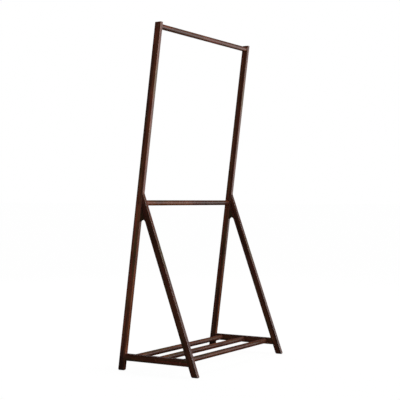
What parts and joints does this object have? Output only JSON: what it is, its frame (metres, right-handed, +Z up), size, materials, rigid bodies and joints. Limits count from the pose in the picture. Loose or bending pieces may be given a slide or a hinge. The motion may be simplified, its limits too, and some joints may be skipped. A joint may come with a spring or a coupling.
{
  "type": "coat stand",
  "caption": "Free-standing wooden coat stand with two leaning A-frames, a round hanging rail, a cross rail and a low shelf of round rails.",
  "frame": {"origin": "on the floor, at the middle of the footprint's width and depth, at the undersides of the foot pads", "axes": "+Z up, +X along the rails towards the right frame, and -Y towards the front, where the legs' feet stand; the posts' feet are at +Y"},
  "size_m": [0.9, 0.4594, 1.7],
  "materials": {
    "frame_wood": "dark reddish-brown hardwood, satin oil",
    "rail_wood": "turned dark hardwood, satin oil",
    "plug_wood": "hardwood plug, satin oil",
    "tenon_wood": "bare beech",
    "bolt_steel": "zinc plated",
    "insert_brass": "turned",
    "foot_felt": "dark pressed felt"
  },
  "bodies": {
    "root": {"left_post": "frame_wood", "right_post": "frame_wood", "left_leg": "frame_wood", "right_leg": "frame_wood", "left_side_rail": "frame_wood", "right_side_rail": "frame_wood", "left_knee_tenon": "tenon_wood", "right_knee_tenon": "tenon_wood", "top_rail": "rail_wood", "mid_rail": "rail_wood", "shelf_rail_back": "rail_wood", "shelf_rail_middle": "rail_wood", "shelf_rail_front": "rail_wood", "rail_bolts": "bolt_steel", "rail_inserts": "insert_brass", "rail_plugs": "plug_wood", "pad_left_back": "foot_felt", "pad_left_front": "foot_felt", "pad_right_back": "foot_felt", "pad_right_front": "foot_felt"}
  },
  "joints": []
}
